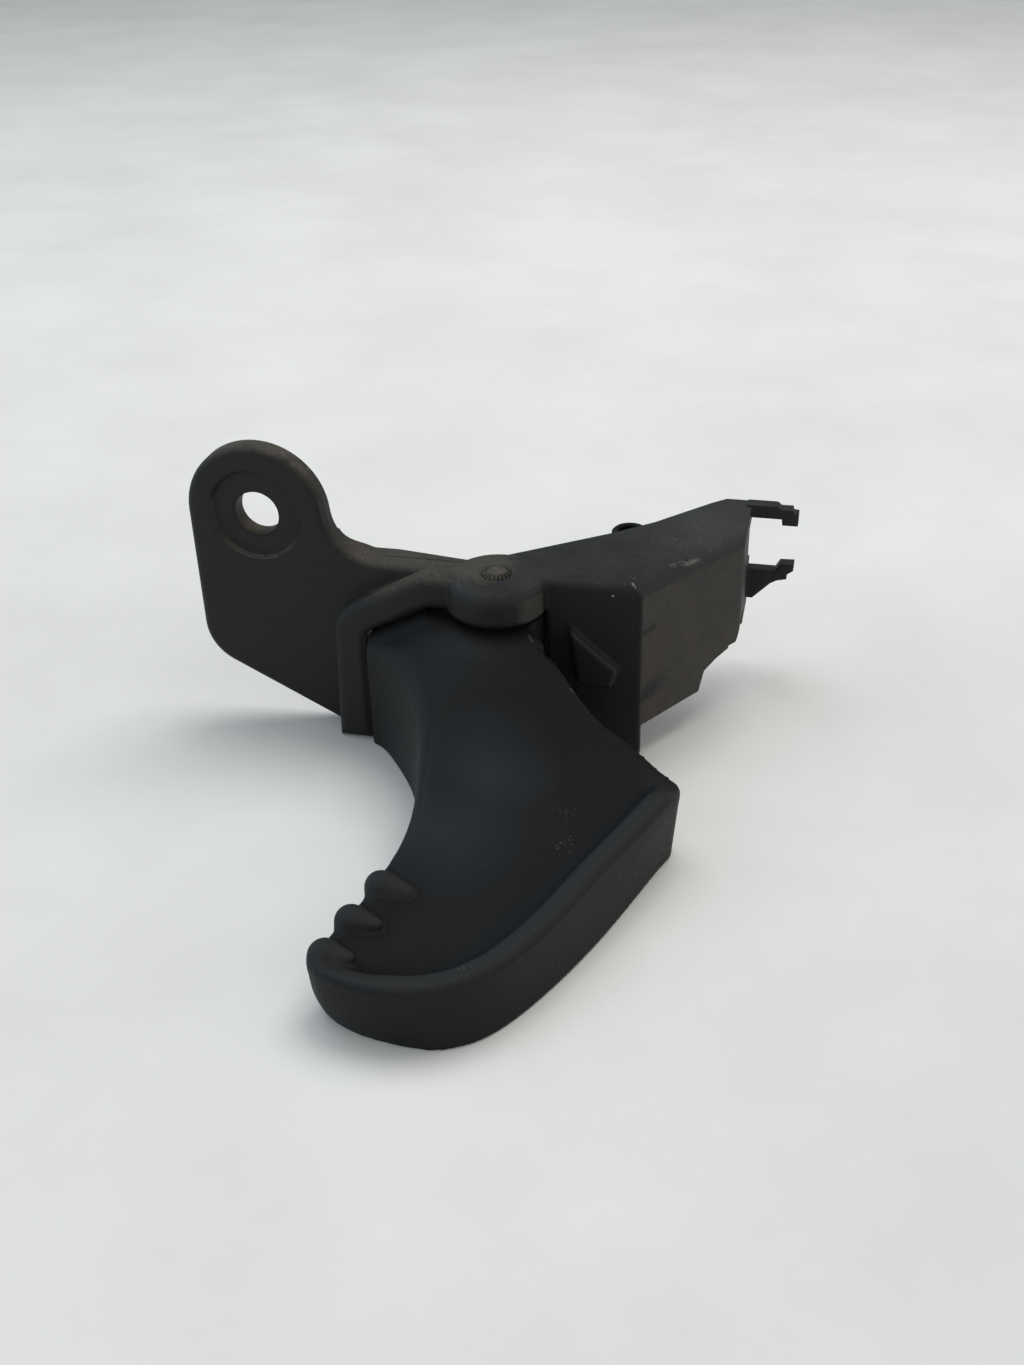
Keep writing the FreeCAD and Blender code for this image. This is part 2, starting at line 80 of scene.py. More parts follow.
# Camera, fitted to the photograph
CAMERA_EYE = (62.2, -247.3, 170.4)
CAMERA_RIGHT = (0.97501912, 0.22099675, -0.02231952)
CAMERA_UP = (-0.09697003, 0.51390634, 0.85234799)
FOCAL_PIXELS = 1450.0
PHOTO_HEIGHT = 1365.0
SENSOR_LONG = 36.0
CLIP_START_M = 0.01

# Lever outline seen from above, on the floor and near the top, and the straight back of its root
FOOT = [
    (-26.3, -6.4), (-21.8, -10.0), (-12.9, -22.9), (-8.0, -37.2), (-5.3, -53.0), (-8.2, -70.0),
    (-11.0, -79.4), (-9.3, -84.6), (-4.0, -87.6), (2.0, -88.8), (7.5, -89.1), (12.0, -88.2),
    (17.8, -84.0), (24.0, -74.2), (31.0, -58.5), (38.0, -38.0), (40.0, -31.4), (36.9, -25.6),
    (22.5, -18.6), (7.9, -5.5),
]
CROWN = [
    (-26.3, -6.4), (-21.0, -9.8), (-11.4, -22.4), (-7.0, -37.0), (-5.2, -53.0), (-8.2, -70.0),
    (-12.2, -82.0), (-10.6, -86.6), (-6.2, -88.8), (0.2, -89.8), (6.6, -89.1), (11.9, -87.0),
    (16.8, -83.3), (20.9, -78.2), (25.9, -69.0), (30.9, -57.0), (39.1, -38.0), (41.1, -30.6),
    (38.0, -25.2), (22.5, -18.4), (7.9, -5.5),
]
ROOT_BACK = [(8.2, 3.0), (-8.5, 3.0), (-26.2, -1.4)]
OUTLINE_STEPS = 16

# Height of the lever's top by distance from the pivot
FALL = [
    (0.0, 31.2), (10.0, 31.2), (15.0, 29.8), (20.0, 27.0), (26.0, 23.4), (34.0, 19.3), (44.0, 16.0),
    (56.0, 13.8), (70.0, 12.2), (84.0, 11.0), (105.0, 10.0),
]
# Line that parts the paddle's left side from its right: Y, X
SPINE = [(-80.0, 1.0), (-69.0, 8.0), (-56.0, 12.0), (-42.0, 11.5), (-26.0, 5.0), (-12.0, -2.0), (0.5, -6.0)]

# The side wall: its thickness, how far below the top it reaches the crown outline, and its fuller tip
WALL = 2.4
CROWN_BELOW_TOP = 1.0
TIP_BULGE = 1.5
TIP_BULGE_FROM_Y = -62.0
TIP_BULGE_FADE = 14.0

# Grid on which the lever's surface is found, and how often and how far its points move to settle on the
# surface, in grid steps
GRID_LOW = (-28.5, -93.0, -1.5)
GRID_HIGH = (43.5, 5.5, 33.5)
GRID_STEP = 0.5
SETTLE_ROUNDS = 3
SETTLE_STEP = 0.4

# Edge rounding down the left flank, as outline Y and radius, and the right flank's radius
SHOULDER = [
    (-90.0, 1.2), (-60.0, 1.2), (-50.0, 1.6), (-43.0, 2.2), (-33.0, 2.8), (-23.0, 3.4), (-14.0, 3.4),
    (-9.0, 1.4), (-5.0, 0.6), (1.0, 0.5),
]
RIGHT_EDGE_R = 1.2

# Dish of the paddle: depth, how far in from the edge it forms, and where it begins along the lever
DISH_DEPTH = 2.0
DISH_REACH = 6.5
DISH_FROM_R = 16
DISH_FADE = 22

# Straight underside of the bracket's arch: X, Z at two places, the room under it, and where the lever's top
# follows it
ARCH = ((-26.6, 25.6), (-13.0, 32.6))
ARCH_ROOM = 0.55
ARCH_FROM_Y = -8.0
ARCH_TO_X = -7.0
ARCH_FADE = 5.0

# Lip section: middle and half size, inward from the outline and up from the top surface
LIP_MIDDLE = (2.45, 0.15)
LIP_HALF = (2.45, 1.7)
LIP_ROUND = 1.65
# Where the lip ends on the left and on the right, and how far it sinks there
LIP_FROM_Y = -83.0
LIP_TO_Y = -31.0
LIP_FADE = 6.0
LIP_PAST_SPINE = 2.0
LIP_SINK = 4.0
# Softness of the crease between lip and paddle: least, added inward, and where it is added
LIP_CREASE = 0.2
LIP_CREASE_INNER = 2.0
LIP_CREASE_FROM = 1.5
LIP_CREASE_FADE = 2.5
# Painted highlight along the lip: half width and fade
LIP_HIGHLIGHT_HALF = 1.2
LIP_HIGHLIGHT_FADE = 1.6

# Grip bumps: two ends of each bar's axis, its radius and shape, the leg that carries its outer end, and how
# far the painted highlight on its top reaches
BUMPS = [
    ((-9.9, -82.4, 11.0), (-5.8, -82.5, 11.2)),
    ((-8.1, -74.0, 11.4), (-3.8, -74.2, 11.5)),
    ((-5.6, -65.2, 12.0), (-1.0, -65.4, 11.8)),
]
BUMP_R = 2.9
BUMP_THIN = 0.6
BUMP_SOFT = 1.3
BUMP_LEG_LEAN = 0.6
BUMP_LEG_LOW = 3.0
BUMP_HIGHLIGHT_REACH = 1.0

# Hollow underside and its ribs, which run out from the pivot or round it
HOLLOW_ROUND = 1.0
RIB_ANGLES = [-105, -88, -70, -50]
RIB_RING_R = [42, 64]
RIB_DEPTH = 3.0
RIB_HALF = 0.8

# Hub, and the room for the lower boss and the foot flange
HUB_R = 9.4
HUB_Z = (8.1, 31.4)
HUB_ROUND = 0.5
PIN_BORE_R = 3.05
BOSS_CLEAR_R = 10.6
FOOT_CLEAR_Y = -1.1

# Arm behind the hub, its thin top rib, and the slotted eye at its end
ARM_HALF = 3.5
ARM_ROOT_Z = 12.0
ARM_Z = (21.0, 31.4)
ARM_SUNK = 1.0
ARM_BEVEL = 0.5
ARM_RIB_HALF = 0.8
ARM_RIB_BEVEL = 0.3
EYE = (22.0, 30.0)
EYE_R = 3.9
EYE_BORE_R = 2.6
EYE_TOP_Z = 36.7
EYE_FLOOR_Z = 23.0
EYE_FLOOR = 2.0
EYE_FLOOR_INSET = 0.02
EYE_SLOT = 1.8
EYE_CHAMFER = 0.4
EYE_BORE_CHAMFER = 0.3
EYE_STEPS = 48

# The plate's window edge and front face and the stop pad, which the lever nears at the end of its pull
PULL_END = math.radians(35.0)
WINDOW_RIGHT_X = 10.2
PLATE_FRONT_Y = -0.7
STOP_PAD_X = (14.9, 25.9)
STOP_PAD_Y = -2.5
STOP_PAD_LOW_Z = 16.5
STOP_PAD_HIGH_Z = 29.9
STOP_PAD_SLOPE = 0.79
STOP_ROOM = 0.15

# The plate's top, and the pin's rings from the bottom up: height, radius, depth of the splines
TOP_Z = 39.5
PIN_R = 3.0
PIN_SPLINES = 20
PIN_SPLINE_STEPS = 6
PIN_RINGS = [
    (0.3, PIN_R - 0.5, 0.0),
    (0.8, PIN_R, 0.0),
    (TOP_Z - 4.0, PIN_R, 0.0),
    (TOP_Z - 3.8, PIN_R, 0.3),
    (TOP_Z + 0.1, PIN_R, 0.4),
    (TOP_Z + 0.5, PIN_R - 0.6, 0.25),
    (TOP_Z + 0.55, PIN_R - 0.9, 0.0),
]

# The ear's neck, and the back of the plate's top edge that grows from it
NECK_R = 10.5
NECK_X = -24.36
PLATE_BACK_Y = 4.6
FLANGE_BACK_Y = 6.85
FLANGE_FROM_X = -33.5
FLANGE_STEPS = 20
FLANGE_GROWTH = 1.7
FLANGE_START = 0.3
FLANGE_SUNK = 2.0
FLANGE_UNDER = 0.02
FLANGE_CHAMFER = 0.5
FLANGE_DEPTH = 2.6


def lerp(a, b, t):
    return a + (b - a) * t


def smooth(t):
    t = np.clip(t, 0.0, 1.0)
    return t * t * (3 - 2 * t)


def turned(x, y, angle):
    """A place turned about the pivot axis by an angle in radians."""
    return x * math.cos(angle) - y * math.sin(angle), x * math.sin(angle) + y * math.cos(angle)


def place_of(point):
    """A place given in millimetres from the pivot axis and the floor, in the frame's metres."""
    return (point[0] * MM + PIVOT.x, point[1] * MM + PIVOT.y, point[2] * MM + FLOOR_Z)


def new_object(name, data):
    obj = bpy.data.objects.new(name, data)
    bpy.context.scene.collection.objects.link(obj)
    return obj


# Outlines and tables
def along(table, x):
    """A value read from a table of pairs by a smooth curve through them."""
    if x <= table[0][0]:
        return table[0][1]
    for i in range(len(table) - 1):
        x0, y0 = table[i]
        x1, y1 = table[i + 1]
        if x <= x1:
            before = table[max(i - 1, 0)]
            after = table[min(i + 2, len(table) - 1)]
            m0 = (y1 - before[1]) / (x1 - before[0]) * (x1 - x0)
            m1 = (after[1] - y0) / (after[0] - x0) * (x1 - x0)
            t = (x - x0) / (x1 - x0)
            return ((2 * t ** 3 - 3 * t ** 2 + 1) * y0 + (t ** 3 - 2 * t ** 2 + t) * m0
                    + (3 * t ** 2 - 2 * t ** 3) * y1 + (t ** 3 - t ** 2) * m1)
    return table[-1][1]


def table_field(table, values):
    """The table's smooth curve read at every value of an array."""
    fine = np.arange(table[0][0], table[-1][0] + 0.1, 0.1)
    return np.interp(values, fine, [along(table, x) for x in fine])


def catmull(points, t):
    """A point on the smooth curve through the points, with t running from 0 to the last index."""
    i = min(int(t), len(points) - 2)
    f = t - i
    p0, p1 = points[max(i - 1, 0)], points[i]
    p2, p3 = points[i + 1], points[min(i + 2, len(points) - 1)]
    return tuple(
        0.5 * (2 * b + (c - a) * f + (2 * a - 5 * b + 4 * c - d) * f * f + (3 * b - a - 3 * c + d) * f ** 3)
        for a, b, c, d in zip(p0, p1, p2, p3))


def outline_distance(px, py, points):
    """Signed distance in plan to one of the lever's outlines, negative inside."""
    count = OUTLINE_STEPS * (len(points) - 1) + 1
    loop = [catmull(points, k / OUTLINE_STEPS) for k in range(count)] + ROOT_BACK
    best = np.full(px.shape, 1e9)
    inside = np.zeros(px.shape, bool)
    for (ax, ay), (bx, by) in zip(loop, loop[1:] + loop[:1]):
        ex, ey = bx - ax, by - ay
        wx, wy = px - ax, py - ay
        t = np.clip((wx * ex + wy * ey) / (ex * ex + ey * ey), 0, 1)
        best = np.minimum(best, (wx - t * ex) ** 2 + (wy - t * ey) ** 2)
        if ay != by:
            inside ^= ((ay > py) != (by > py)) & (px < ax + wy * ex / ey)
    return np.where(inside, -1.0, 1.0) * np.sqrt(best)


def spine_x(y):
    return np.interp(y, *zip(*SPINE))


def lip_share(x, y):
    """1 along the outer rim, fading to 0 before the left and the right ends of the lip."""
    left = smooth((LIP_FROM_Y + LIP_FADE - y) / (2 * LIP_FADE))
    right = smooth((LIP_TO_Y + LIP_FADE - y) / (2 * LIP_FADE))
    return lerp(right, left, smooth((spine_x(y) + LIP_PAST_SPINE - x) / LIP_FADE))


# Solids given as distances, negative inside
def rounded_corner(a, b, radius):
    """The overlap of two solids, with their shared edge rounded."""
    corner = np.sqrt(np.maximum(a + radius, 0) ** 2 + np.maximum(b + radius, 0) ** 2)
    return corner + np.minimum(np.maximum(a, b), -radius)


def blend(a, b, reach):
    """The sum of two solids, with a soft crease between them."""
    h = np.maximum(reach - np.abs(a - b), 0.0) / reach
    return np.minimum(a, b) - h * h * reach / 4


def bar_distance(x, y, z, start, end):
    """Distance to one grip bump: a round bar that gets thinner toward its inner end."""
    run = [e - s for s, e in zip(start, end)]
    length = sum(c * c for c in run)
    wx, wy, wz = x - start[0], y - start[1], z - start[2]
    t = np.clip((wx * run[0] + wy * run[1] + wz * run[2]) / length, 0, 1)
    away = np.sqrt((wx - t * run[0]) ** 2 + (wy - t * run[1]) ** 2 + (wz - t * run[2]) ** 2)
    return away - BUMP_R * (1 - BUMP_THIN * t)


def top_surface(x, y, r, crown):
    """Height of the lever's top in plan, with the paddle's dish and the part that follows the arch."""
    edge = 1 - np.exp(-(np.maximum(-crown, 0) / DISH_REACH) ** 2)
    top = table_field(FALL, r) - DISH_DEPTH * smooth((r - DISH_FROM_R) / DISH_FADE) * edge
    (x0, z0), (x1, z1) = ARCH
    under_arch = z0 + (x - x0) * (z1 - z0) / (x1 - x0) - ARCH_ROOM
    share = smooth((y - ARCH_FROM_Y) / ARCH_FADE) * smooth((ARCH_TO_X - x) / ARCH_FADE)
    return lerp(top, np.maximum(top, np.minimum(under_arch, HUB_Z[1])), share)


def lip_field(side, above, share):
    """The rolled lip, which sinks into the paddle where its share falls to 0."""
    q1 = np.abs(-side - LIP_MIDDLE[0]) - (LIP_HALF[0] - LIP_ROUND)
    q2 = np.abs(above - LIP_MIDDLE[1] + LIP_SINK * (1 - share)) - (LIP_HALF[1] - LIP_ROUND)
    outside = np.sqrt(np.maximum(q1, 0) ** 2 + np.maximum(q2, 0) ** 2)
    return outside + np.minimum(np.maximum(q1, q2), 0) - LIP_ROUND


def hollow_field(x, y, r, side, above):
    """The space under the paddle, less its ribs."""
    hollow = rounded_corner(side + WALL, above + WALL, HOLLOW_ROUND)
    under_ribs = -(above + WALL + RIB_DEPTH)
    for angle in RIB_ANGLES:
        a = math.radians(angle)
        across = np.abs(x * math.sin(a) - y * math.cos(a)) - RIB_HALF
        forward = -(x * math.cos(a) + y * math.sin(a))
        hollow = np.maximum(hollow, -np.maximum(np.maximum(across, forward), under_ribs))
    for ring in RIB_RING_R:
        hollow = np.maximum(hollow, -np.maximum(np.abs(r - ring) - RIB_HALF, under_ribs))
    return hollow


def stop_depth(x, y, z):
    """How deep each place would lie in the plate or its stop pad at the end of the pull."""
    turned_x, turned_y = turned(x, y, PULL_END)
    in_plate = np.minimum(turned_x - WINDOW_RIGHT_X, turned_y - PLATE_FRONT_Y)
    along_pad = np.minimum(turned_x - STOP_PAD_X[0], STOP_PAD_X[1] - turned_x)
    pad_top = STOP_PAD_HIGH_Z - STOP_PAD_SLOPE * (turned_x - STOP_PAD_X[0])
    up_pad = np.minimum(z - STOP_PAD_LOW_Z, pad_top - z)
    in_pad = np.minimum(np.minimum(along_pad, turned_y - STOP_PAD_Y), up_pad)
    return np.maximum(in_plate, in_pad)


def lever_field(xs, ys, zs):
    """Distance to the lever's surface at every grid place, negative inside the plastic."""
    x, y = np.meshgrid(xs, ys, indexing="ij")
    r = np.hypot(x, y)
    crown = outline_distance(x, y, CROWN)
    top = top_surface(x, y, r, crown)
    slope_x, slope_y = np.gradient(top, GRID_STEP)
    steep = np.sqrt(1 + slope_x ** 2 + slope_y ** 2)[..., None]
    edge_r = np.where(x < spine_x(y), table_field(SHOULDER, y), RIGHT_EDGE_R)[..., None]
    share = lip_share(x, y)[..., None]
    foot = outline_distance(x, y, FOOT)[..., None]
    crown, top = crown[..., None], top[..., None]

    x, y, r = x[..., None], y[..., None], r[..., None]
    z = zs[None, None, :]
    above = (z - top) / steep
    climb = np.clip(z / (top - CROWN_BELOW_TOP), 0, 1)
    bulge = 1 + TIP_BULGE * smooth((TIP_BULGE_FROM_Y - y) / TIP_BULGE_FADE)
    side = lerp(foot, crown, 1 - (1 - climb) ** bulge)
    body = rounded_corner(side, above, edge_r)
    crease = LIP_CREASE + LIP_CREASE_INNER * smooth((-side - LIP_CREASE_FROM) / LIP_CREASE_FADE)
    body = blend(body, lip_field(side, above, share), crease)
    for start, end in BUMPS:
        leg = bar_distance(x, y, z, start, (start[0] + BUMP_LEG_LEAN, start[1], BUMP_LEG_LOW))
        body = blend(body, np.minimum(bar_distance(x, y, z, start, end), leg), BUMP_SOFT)
    body = np.maximum(body, -hollow_field(x, y, r, side, above))
    boss_room = np.maximum(np.minimum(r - BOSS_CLEAR_R, FOOT_CLEAR_Y - y), z - HUB_Z[0])
    body = np.maximum(body, -boss_room)
    body = np.maximum(body, stop_depth(x, y, z) + STOP_ROOM)
    hub_middle, hub_half = sum(HUB_Z) / 2, (HUB_Z[1] - HUB_Z[0]) / 2
    hub = rounded_corner(r - HUB_R, np.abs(z - hub_middle) - hub_half, HUB_ROUND)
    body = np.maximum(np.minimum(body, hub), PIN_BORE_R - r)
    return np.maximum(body, -z)


# A surface from distances on a grid
def sampled(field, place):
    """The grid's value at places between its points, by straight-line mixing."""
    cell = np.clip(np.floor(place).astype(int), 0, np.array(field.shape) - 2)
    f = place - cell
    total = np.zeros(len(place))
    for corner in np.ndindex(2, 2, 2):
        weight = np.prod(np.where(corner, f, 1 - f), axis=1)
        total += weight * field[tuple((cell + corner).T)]
    return total


def net_points(field, inside):
    """A surface point for each grid cell that the surface crosses, and each cell's point number."""
    shape = field.shape
    corners = list(np.ndindex(2, 2, 2))
    count = sum(inside[a:shape[0] - 1 + a, b:shape[1] - 1 + b, c:shape[2] - 1 + c].astype(int)
                for a, b, c in corners)
    mixed = (count > 0) & (count < len(corners))
    index = np.full(mixed.shape, -1)
    index[mixed] = np.arange(mixed.sum())
    cells = np.argwhere(mixed)
    place = np.zeros((len(cells), 3))
    hits = np.zeros(len(cells))
    for a in corners:
        for axis in range(3):
            if a[axis]:
                continue
            b = tuple(1 if i == axis else v for i, v in enumerate(a))
            fa, fb = field[tuple((cells + a).T)], field[tuple((cells + b).T)]
            crossed = (fa < 0) != (fb < 0)
            t = np.where(crossed, fa / np.where(crossed, fa - fb, 1.0), 0.0)
            place[crossed] += (np.array(a) + t[:, None] * (np.array(b) - a))[crossed]
            hits += crossed
    place = cells + place / hits[:, None]
    slopes = np.gradient(field)
    for _ in range(SETTLE_ROUNDS):
        value = sampled(field, place)
        slope = np.stack([sampled(s, place) for s in slopes], 1)
        move = slope * (value / np.maximum((slope ** 2).sum(1), 1e-6))[:, None]
        place -= np.clip(move, -SETTLE_STEP, SETTLE_STEP)
    return place, index


def net_quads(inside, index):
    """A face across each grid edge that the surface crosses, facing outward."""
    shape = inside.shape
    quads = []
    for axis in range(3):
        u, v = (axis + 1) % 3, (axis + 2) % 3
        edges = np.argwhere(inside != np.roll(inside, -1, axis))
        keep = (edges[:, axis] < shape[axis] - 1) & (edges[:, u] > 0) & (edges[:, v] > 0)
        edges = edges[keep & (edges[:, u] < shape[u] - 1) & (edges[:, v] < shape[v] - 1)]
        sides = []
        for du, dv in ((1, 1), (0, 1), (0, 0), (1, 0)):
            cell = edges.copy()
            cell[:, u] -= du
            cell[:, v] -= dv
            sides.append(index[tuple(cell.T)])
        quad = np.stack(sides, 1)
        starts_out = ~inside[tuple(edges.T)]
        quad[starts_out] = quad[starts_out][:, ::-1]
        quads.append(quad)
    return np.concatenate(quads)


def make_moulding():
    """The lever's plastic body, from the outline, top surface, lip, bumps, hollow and ribs."""
    xs, ys, zs = (np.arange(a, b, GRID_STEP) for a, b in zip(GRID_LOW, GRID_HIGH))
    field = lever_field(xs, ys, zs)
    inside = field < 0
    place, index = net_points(field, inside)
    quads = net_quads(inside, index)
    local = place * GRID_STEP + np.array(GRID_LOW)
    place = local * MM + np.array((PIVOT.x, PIVOT.y, FLOOR_Z))
    mesh = bpy.data.meshes.new("lever_moulding")
    mesh.from_pydata(place.tolist(), [], quads.tolist())
    # The 'lip' attribute marks where a highlight is painted: along the lip and over the bumps' tops
    inward = -outline_distance(*local[:, :2].T, CROWN)
    across_lip = np.abs(inward - LIP_MIDDLE[0])
    share = (1 - smooth((across_lip - LIP_HIGHLIGHT_HALF) / LIP_HIGHLIGHT_FADE)) * lip_share(*local[:, :2].T)
    for start, end in BUMPS:
        near = np.abs(bar_distance(*local.T, start, end)) / BUMP_HIGHLIGHT_REACH
        share = np.maximum(share, 1 - smooth(near))
    mesh.attributes.new("lip", "FLOAT", "POINT").data.foreach_set("value", share.astype(np.float32))
    obj = new_object("lever_moulding", mesh)
    mesh.shade_smooth()
    return obj


# Pieces built from faces
def to_object(bm, name, smooth_angle=40):
    """The mesh moved into the frame's metres and shaded smooth."""
    for v in bm.verts:
        v.co = place_of(v.co)
    bmesh.ops.remove_doubles(bm, verts=bm.verts, dist=1e-6)
    bmesh.ops.recalc_face_normals(bm, faces=bm.faces)
    mesh = bpy.data.meshes.new(name)
    bm.to_mesh(mesh)
    bm.free()
    obj = new_object(name, mesh)
    mesh.shade_smooth()
    mesh.set_sharp_from_angle(angle=math.radians(smooth_angle))
    return obj


def skin(bm, rows):
    """Faces between each loop of points and the next."""
    for a, b in zip(rows, rows[1:]):
        for j in range(len(a)):
            m = (j + 1) % len(a)
            bm.faces.new((a[j], b[j], b[m], a[m]))


def slotted_eye(bm):
    """The eye's wall with its slot toward +X, as a bent strip, with a floor disc under it."""
    half = math.asin(EYE_SLOT / 2 / EYE_R)
    low_z = EYE_FLOOR_Z - EYE_FLOOR
    profile = [
        (EYE_R, low_z), (EYE_R, EYE_TOP_Z - EYE_CHAMFER), (EYE_R - EYE_CHAMFER, EYE_TOP_Z),
        (EYE_BORE_R + EYE_BORE_CHAMFER, EYE_TOP_Z), (EYE_BORE_R, EYE_TOP_Z - EYE_BORE_CHAMFER),
        (EYE_BORE_R, low_z),
    ]
    rows = []
    for k in range(EYE_STEPS + 1):
        a = lerp(half, 2 * math.pi - half, k / EYE_STEPS)
        row = [(EYE[0] + r * math.cos(a), EYE[1] + r * math.sin(a), z) for r, z in profile]
        rows.append([bm.verts.new(point) for point in row])
    skin(bm, rows)
    bm.faces.new(rows[0])
    bm.faces.new(list(reversed(rows[-1])))
    radius = EYE_R - EYE_FLOOR_INSET
    floor = bmesh.ops.create_cone(
        bm, cap_ends=True, segments=EYE_STEPS, radius1=radius, radius2=radius, depth=EYE_FLOOR)
    bmesh.ops.translate(bm, verts=floor["verts"], vec=(EYE[0], EYE[1], EYE_FLOOR_Z - EYE_FLOOR / 2))


def block(bm, reach, half, low_z, high_z, angle, bevel):
    """A softened bar that lies along a direction from the pivot, with a low edge that may slope."""
    verts = bmesh.ops.create_cube(bm, size=1.0)["verts"]
    for v in verts:
        t = v.co.x + 0.5
        height = lerp(lerp(*low_z, t), high_z, v.co.z + 0.5)
        v.co = Vector((lerp(*reach, t), v.co.y * 2 * half, height))
    corners = set(verts)
    edges = [e for e in bm.edges if corners.issuperset(e.verts)]
    bevelled = bmesh.ops.bevel(bm, geom=edges, offset=bevel, segments=2, affect="EDGES", profile=0.5)
    for v in {v for f in bevelled["faces"] for v in f.verts} | {v for v in verts if v.is_valid}:
        v.co.x, v.co.y = turned(v.co.x, v.co.y, angle)


def make_arm():
    """The arm behind the hub, with its top rib and the eye for the cable's end."""
    bm = bmesh.new()
    angle = math.atan2(EYE[1], EYE[0])
    outer = math.hypot(*EYE) - EYE_R + ARM_SUNK
    rib_low = ARM_Z[1] - ARM_SUNK
    block(bm, (HUB_R - ARM_SUNK, outer), ARM_HALF, (ARM_ROOT_Z, ARM_Z[0]), ARM_Z[1], angle, ARM_BEVEL)
    block(bm, (BOSS_CLEAR_R + ARM_SUNK, outer), ARM_RIB_HALF, (rib_low, rib_low), EYE_TOP_Z - ARM_SUNK,
          angle, ARM_RIB_BEVEL)
    slotted_eye(bm)
    return to_object(bm, "lever_arm")


def make_pin():
    """The pivot pin: a plain rod whose upper end is splined and chamfered, with a little standing proud."""
    bm = bmesh.new()
    count = PIN_SPLINES * PIN_SPLINE_STEPS
    rows = []
    for z, radius, depth in PIN_RINGS:
        row = []
        for k in range(count):
            a = 2 * math.pi * k / count
            r = radius - depth * (0.5 + 0.5 * math.cos(PIN_SPLINES * a)) ** 2
            row.append(bm.verts.new((r * math.cos(a), r * math.sin(a), z)))
        rows.append(row)
    skin(bm, rows)
    bm.faces.new(list(reversed(rows[0])))
    bm.faces.new(rows[-1])
    return to_object(bm, "pin_rod", 25)


def make_flange_root():
    """The back of the plate's top edge, where it grows from the ear's neck into the flange."""
    bm = bmesh.new()
    rows = []
    for k in range(FLANGE_STEPS + 1):
        t = k / FLANGE_STEPS
        x = lerp(FLANGE_FROM_X, NECK_X, t)
        z = TOP_Z + NECK_R - math.sqrt(NECK_R ** 2 - (x - NECK_X) ** 2)
        front = PLATE_BACK_Y - FLANGE_SUNK
        back = lerp(PLATE_BACK_Y - FLANGE_START, FLANGE_BACK_Y, float(smooth(t * FLANGE_GROWTH)))
        section = [
            (front, z - FLANGE_UNDER), (back - FLANGE_CHAMFER, z - FLANGE_UNDER), (back, z - FLANGE_CHAMFER),
            (back, z - FLANGE_DEPTH), (front, z - FLANGE_DEPTH),
        ]
        rows.append([bm.verts.new((x, y, height)) for y, height in section])
    skin(bm, rows)
    bm.faces.new(rows[0])
    bm.faces.new(list(reversed(rows[-1])))
    return to_object(bm, "flange_root", 30)


# Colours of the plastics, their dust and their marks, and the painted highlights, reflection and sheen on
# the lever
BLACK_PLASTIC = (0.0068, 0.0066, 0.0064)
# The dust colours also paint the highlights on the seat's edge and the pad's crest
TOP_DUST = (0.060, 0.053, 0.044)
COOL_DUST = (0.050, 0.051, 0.053)
WALL_DUST = (0.046, 0.041, 0.036)
LEVER_PLASTIC = (0.0046, 0.0050, 0.0058)
# Haze colour, also used for the painted highlights on the lip and bumps and the painted reflection on the
# left flank
LEVER_HAZE_AND_PAINTED_LIGHT = (0.022, 0.023, 0.024)
# Painted reflection: a bluish sheen painted into the palm's colour
PAINTED_PALM_SHEEN = (0.022, 0.027, 0.032)
STAIN = (0.050, 0.036, 0.029)
PALE_MARK = (0.30, 0.28, 0.25)
DUSTY_STEEL = (0.10, 0.085, 0.065)
RUSTY_STEEL = (0.035, 0.03, 0.025)
SPLINE_SHADOW = (0.012, 0.011, 0.010)
FLOOR_PALE = (0.76, 0.75, 0.725)
FLOOR_WORN = (0.69, 0.68, 0.655)

# Directions: up, out of the oblique wall, and out of the lever's left flank
UP = (0.0, 0.0, 1.0)
WALL_OUTWARD = (0.838, -0.546, 0.0)
FLANK_OUTWARD = (-0.9, -0.3, 0.2)

# Shine, edge softness in metres, and grain as scale per metre and depth in metres
LEVER_SHINE = 0.2
LEVER_EDGE_SOFT = 0.0009
LEVER_GRAIN = (1400.0, 0.00008)
BRACKET_SHINE = 0.3
BRACKET_EDGE_SOFT = 0.0014
BRACKET_GRAIN = (1500.0, 0.00012)

# Noise kinds: scale per metre, detail, roughness
DUST_PATCHES = (110.0, 6.0, 0.7)
EAR_PATCHES = (160.0, 5.0, 0.7)
WALL_MOTTLE = (500.0, 5.0, 0.7)
DUST_SPECKS = (1500.0, 2.0, 0.5)
WORN_SPECKS = (1600.0, 2.0, 0.5)
HAZE_PATCHES = (70.0, 6.0, 0.65)
LEVER_ROUGHNESS = (1300.0, 3.0, 0.6)
RAGGED_EDGE = (700.0, 4.0, 0.7)
BROKEN_LINE = (900.0, 3.0, 0.7)
PIN_RUST = (900.0, 5.0, 0.7)
FLOOR_WEAR = (14.0, 6.0, 0.6)

# Dust patches on the bracket's top: place, radius, softness, squash, raggedness
EVEN = (1.0, 1.0, 1.0)
BOSS_DUST = ((-4.0, 2.6, 39.5), 8.5, 0.5, EVEN, 0.3)
FLANGE_DUST = ((-22.0, 1.0, 40.0), 20.0, 0.6, (1.0, 0.6, 0.4), 0.3)
EAR_DUST = ((-46.0, 0.0, 50.0), 22.0, 0.3)
FAR_ROOF_DUST = ((40.0, 30.0, 39.1), 24.0, 0.8)
EAR_DUST_GAIN = 2.2
HEAVY_DUST = 0.6
FAR_ROOF_GAIN = 0.35

# Marks seen on the wall: place and radius
WALL_SMUDGES = [((31.3, 2.6, 15.6), 4.4), ((30.4, 1.2, 29.3), 2.2), ((30.4, 1.2, 13.9), 3.0)]
SMUDGE_SQUASH = (0.9, 1.3, 0.5)
WALL_STAINS = [((32.4, 4.3, 25.3), 3.6), ((32.7, 4.6, 9.7), 3.2), ((31.0, 2.1, 20.9), 3.0)]

